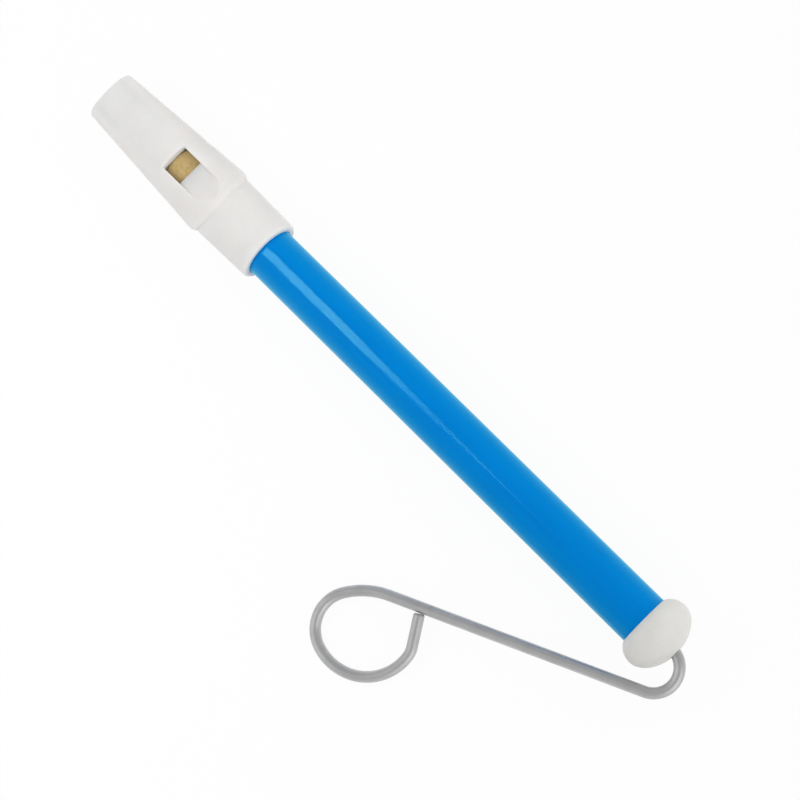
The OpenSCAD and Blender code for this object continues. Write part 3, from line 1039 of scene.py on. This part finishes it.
def peened_head(material):
    """The wire's hammered end, spread into a button that holds the front washer."""
    back_x = ROD_HEAD_X + ROD_HEAD_T
    profile = [(back_x, 0.4), (back_x, ROD_HEAD_R - 0.3), (ROD_HEAD_X + 0.9, ROD_HEAD_R - 0.08),
               (ROD_HEAD_X + 0.7, ROD_HEAD_R), (ROD_HEAD_X + ROD_HEAD_MIDDLE, ROD_HEAD_R - 0.04)]
    for a in radians(*spread(60, 6, 7)):
        radius = (ROD_HEAD_R - 0.15) * math.sin(a) / math.sin(math.radians(60))
        profile.append((ROD_HEAD_X + 0.45 * (1 - math.cos(a)) / 0.5, radius))
    head = turned("peened_head", profile, sides=48, closed=False)
    rng = np.random.default_rng(7)
    dents = [(rng.uniform(-1.6, 1.6), rng.uniform(-1.6, 1.6), rng.uniform(0.5, 0.9)) for k in range(9)]
    with opened(head.data) as work:
        for vert in work.verts:
            x, y, z = vert.co / MM
            if x < ROD_HEAD_X + ROD_HEAD_MIDDLE:
                for dy, dz, size in dents:
                    near = max(0.0, 1 - math.hypot(y - dy, z - dz) / size)
                    vert.co.x += DENT * near * near * MM
    smooth(head, angle=40)
    return dress(head, material, "rod", None)


def crimped_stop(material):
    """The collar squeezed on the wire behind the piston, with the marks of the tool round its waist."""
    middle = STOP_X + STOP_LENGTH / 2
    profile = [(STOP_X + 0.15, WIRE_R + 0.05), (STOP_X, WIRE_R + 0.2), (STOP_X, STOP_R - 0.2),
               (STOP_X + 0.06, STOP_R - 0.06), (STOP_X + 0.2, STOP_R), (middle - 0.7, STOP_R),
               (middle - 0.5, STOP_R - 0.08), (middle - 0.25, STOP_R - 0.34), (middle, STOP_R - 0.4)]
    mirrored = [(2 * middle - x, r) for x, r in profile[-2::-1]]
    collar = turned("crimped_stop", profile + mirrored, sides=72)
    with opened(collar.data) as work:
        for vert in work.verts:
            x, y, z = vert.co / MM
            r = math.hypot(y, z)
            if r > STOP_R - 0.6:
                waist = max(0.0, 1 - abs(x - middle) / 0.75)
                press = CRIMP * waist * max(0.0, math.cos(4 * math.atan2(z, y))) ** 3
                vert.co.y -= y / r * press * MM
                vert.co.z -= z / r * press * MM
    smooth(collar, angle=34)
    return dress(collar, material, "rod", "stop_collar")


# The felt

def felt_outline():
    """Half the seal's section: front face, swollen rim, side, and the same again at the back."""
    face = [(0.0, r) for r in spread(GUIDE_R, SEAL_FACE_R, 8)]
    front = [(SEAL_X + x, r) for x, r in (*face, *SEAL_RIM, (SEAL_EASE, SEAL_R))]
    side = [(x, SEAL_R) for x in spread(SEAL_X + SEAL_EASE, SEAL_X + SEAL_LENGTH - SEAL_EASE, 46)[1:-1]]
    back = [(2 * SEAL_X + SEAL_LENGTH - x, r) for x, r in front[::-1]]
    return front + side + back


def felt_seal(material):
    """The felt piston, a little rough all over, with softly rounded ends."""
    seal = turned("felt_seal", felt_outline(), sides=150)
    rng = np.random.default_rng(11)
    waves = [(rng.normal(size=3) * rng.uniform(1.5, 7.0), rng.uniform(0, 6.28)) for k in range(26)]
    with opened(seal.data) as work:
        work.normal_update()
        for vert in work.verts:
            spot = np.array(vert.co) / MM
            if math.hypot(spot[1], spot[2]) > GUIDE_R + 0.3:
                rough = sum(math.sin(float(spot @ wave) + phase) for wave, phase in waves) / len(waves)
                vert.co -= vert.normal * (NAP + NAP_SWELL * abs(rough)) * MM
    smooth(seal, angle=60)
    return dress(seal, material, "piston", "piston_seal")


# Floor, light and camera

def bare_material(name):
    """A new material with an empty tree."""
    material = bpy.data.materials.new(name)
    material.use_nodes = True
    material.node_tree.nodes.clear()
    return material, material.node_tree


def seen_rays(tree):
    """One for rays that see the surroundings: from the camera, or by reflection or through glass."""
    path = node(tree, "ShaderNodeLightPath").outputs
    first = maths(tree, "MAXIMUM", path["Is Camera Ray"], path["Is Glossy Ray"])
    return maths(tree, "MAXIMUM", first, path["Is Transmission Ray"])


def pale_floor():
    """A level floor that keeps the whistle's faint shadow and melts into the white."""
    near, far = -FLOOR_HALF, FLOOR_HALF
    corners = [(near, near, FLOOR_Z), (far, near, FLOOR_Z), (far, far, FLOOR_Z), (near, far, FLOOR_Z)]
    floor = mesh_object("floor", corners, [[0, 1, 2, 3]])
    material, tree = bare_material("pale_floor")
    share = maths(tree, "MULTIPLY", seen_rays(tree), FLOOR_GLOW)
    matt = result(tree, "ShaderNodeBsdfDiffuse", {"Color": (0.9, 0.9, 0.9, 1)})
    glow = result(tree, "ShaderNodeEmission", {"Color": (1, 1, 1, 1), "Strength": 1.0})
    mixed = result(tree, "ShaderNodeMixShader", {0: share, 1: matt, 2: glow})
    node(tree, "ShaderNodeOutputMaterial", {"Surface": mixed})
    floor.data.materials.append(material)


def facing(tree, way, axis):
    """How far a direction points along an axis."""
    return node(tree, "ShaderNodeVectorMath", {0: way, 1: axis}, operation="DOT_PRODUCT").outputs["Value"]


def studio_sky():
    """Soft light from all round, fuller past the cap, two panels overhead to mirror, and white behind."""
    world = bpy.data.worlds.new("studio")
    world.use_nodes = True
    bpy.context.scene.world = world
    tree = world.node_tree
    tree.nodes.clear()
    way = node(tree, "ShaderNodeTexCoord").outputs["Generated"]
    upward = node(tree, "ShaderNodeSeparateXYZ", {"Vector": way}).outputs["Z"]
    even = maths(tree, "ADD", facing(tree, way, SKY_LEAN), SKY_LEVEL)
    ceiling = mapped(tree, upward, 0.0, 0.9, 0.8, 0.42)
    for axis, edge, level in PANELS:
        panel = mapped(tree, facing(tree, way, axis), edge, 0.98, 0.0, level, interpolation_type="SMOOTHSTEP")
        ceiling = maths(tree, "ADD", ceiling, panel)
    from_camera = node(tree, "ShaderNodeLightPath").outputs["Is Camera Ray"]
    mirrored = mapped(tree, from_camera, 0.0, 1.0, ceiling, 1.0)
    strength = mapped(tree, seen_rays(tree), 0.0, 1.0, even, mirrored)
    sky = result(tree, "ShaderNodeBackground", {"Color": (1, 1, 1, 1), "Strength": strength})
    node(tree, "ShaderNodeOutputWorld", {"Surface": sky})


def key_lamp():
    """A flat lamp beside the head, a few times as bright as white."""
    light = bpy.data.lights.new("key_lamp", "AREA")
    light.shape = "RECTANGLE"
    light.size = light.size_y = KEY_SIDE * MM
    light.energy = KEY_RADIANCE * math.pi * light.size * light.size_y
    lamp = linked("key_lamp", light)
    lamp.location = Vector(KEY_SPOT) * MM
    lamp.rotation_euler = (Vector(KEY_TARGET) - Vector(KEY_SPOT)).to_track_quat("-Z", "Y").to_euler()
    lamp.visible_glossy = False
    lamp.visible_camera = False


def streak_card(mirror):
    """A bright card over the tube, wide at the head and narrow near the cap, which only the tube mirrors."""
    points = [(x, y + CARD_Y, CARD_Z) for x, y in CARD_OUTLINE]
    card = mesh_object("streak_card", points, [list(range(len(points)))])
    material, tree = bare_material("card_glow")
    spot = node(tree, "ShaderNodeTexCoord").outputs["Object"]
    along = node(tree, "ShaderNodeSeparateXYZ", {"Vector": spot}).outputs["X"]
    place = mapped(tree, along, CARD_FADE_START * MM, CARD_FADE_END * MM, 0.0, 1.0)
    fade = ramp(tree, place, [(share, (level, level, level, 1)) for share, level in CARD_FADE])
    strength = maths(tree, "MULTIPLY", fade, CARD_RADIANCE)
    glow = result(tree, "ShaderNodeEmission", {"Color": (1, 1, 1, 1), "Strength": strength})
    both = result(tree, "ShaderNodeAddShader", {0: glow, 1: result(tree, "ShaderNodeBsdfTransparent")})
    node(tree, "ShaderNodeOutputMaterial", {"Surface": both})
    card.data.materials.append(material)
    card.visible_camera = False
    card.visible_diffuse = False
    card.visible_shadow = False
    group = bpy.data.collections.new("mirrors_the_card")
    group.objects.link(mirror)
    card.light_linking.receiver_collection = group


def camera():
    """The photograph's view: from above, a little from the cap's end, with the head at the upper left."""
    eye = Vector(EYE)
    back = (eye - Vector(AIM)).normalized()
    along = Vector((1, 0, 0))
    along = (along - back * along.dot(back)).normalized()
    across = back.cross(along)
    right = math.cos(ROLL) * along + math.sin(ROLL) * across
    up = -math.sin(ROLL) * along + math.cos(ROLL) * across
    data = bpy.data.cameras.new("camera")
    data.lens, data.sensor_width = LENS, SENSOR
    data.clip_start, data.clip_end = 0.01, 20.0
    made = linked("camera", data)
    turn = Matrix((right, up, back)).transposed().to_4x4()
    made.matrix_world = Matrix.Translation(eye * MM) @ turn
    bpy.context.scene.camera = made


camera()
pale_floor()
studio_sky()
key_lamp()
bpy.context.scene.view_settings.view_transform = "Standard"

shell = white_plastic("white_shell", srgb(232, 230, 228), srgb(226, 224, 222), gloss=0.42)
knob = white_plastic("white_knob", srgb(229, 228, 224), srgb(222, 221, 217), gloss=0.42, bleed=0.2, depth=1.0)
plug = white_plastic("white_plug", srgb(233, 232, 228), srgb(226, 225, 221), gloss=0.48)
lacquer = blue_lacquer()
wire_steel = drawn_steel("drawn_wire", srgb(193, 193, 194), gloss=0.36, attribute="wire_place", metal=0.75)
turned_steel = drawn_steel("turned_steel", srgb(196, 196, 194), gloss=0.3, stretch=(6.0, 0.3, 0.3))
felt = wool_felt()

moulded_head(shell)
fipple_block(plug)
ring_tree = turned_ring_tree()
tube = blue_tube(ring_tree, lacquer)
domed_cap(knob)
bent_wire(wire_steel)
peened_head(wire_steel)
crimped_stop(turned_steel)
washer(ring_tree, "front_ring", turned_steel, FRONT_WASHER_X, "front_washer")
washer(ring_tree, "rear_ring", turned_steel, REAR_WASHER_X, "rear_washer")
felt_seal(felt)
streak_card(tube)
